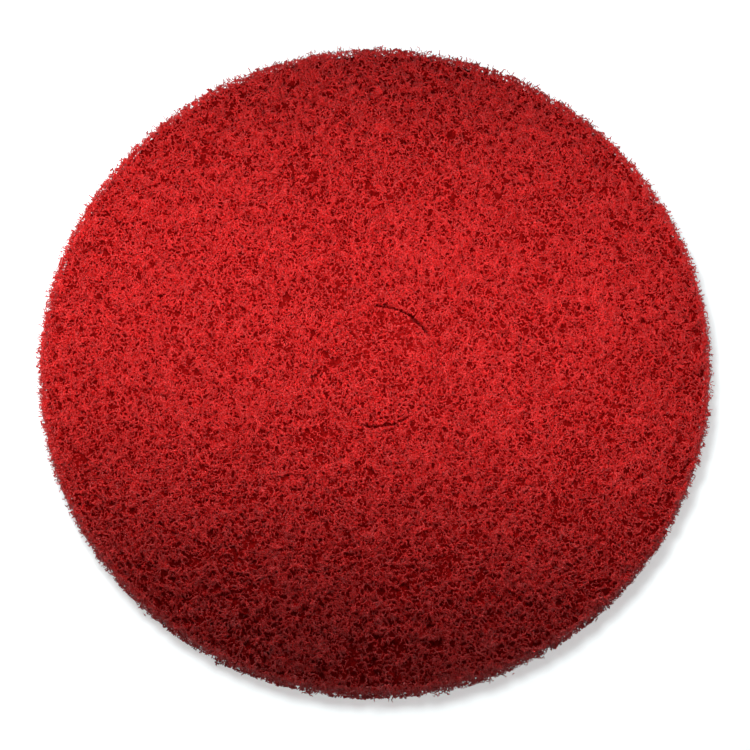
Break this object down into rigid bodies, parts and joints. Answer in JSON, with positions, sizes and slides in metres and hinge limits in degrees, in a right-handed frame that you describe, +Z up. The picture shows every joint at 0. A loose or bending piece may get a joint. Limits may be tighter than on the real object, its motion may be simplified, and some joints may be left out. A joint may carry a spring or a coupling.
{
  "type": "floor pad",
  "caption": "Round, thick, non-woven floor pad with a die-cut centre plug that pushes out, for the driver of a rotary floor machine.",
  "frame": {"origin": "centre of the face that lies on the floor", "axes": "+Z up through the pad's thickness, along the axis it spins about"},
  "size_m": [0.4317, 0.4318, 0.0254],
  "materials": {
    "fibre_web": "matt, open, crimped fibre bonded with resin"
  },
  "bodies": {
    "pad": {"pad_ring": "fibre_web", "plug_bridges": "fibre_web"},
    "plug": {"centre_plug": "fibre_web"}
  },
  "joints": [
    {"name": "plug_push_out", "type": "slide", "parent": "pad", "child": "plug", "axis": [0, 0, 1], "range_m": [0, 0.04]}
  ]
}
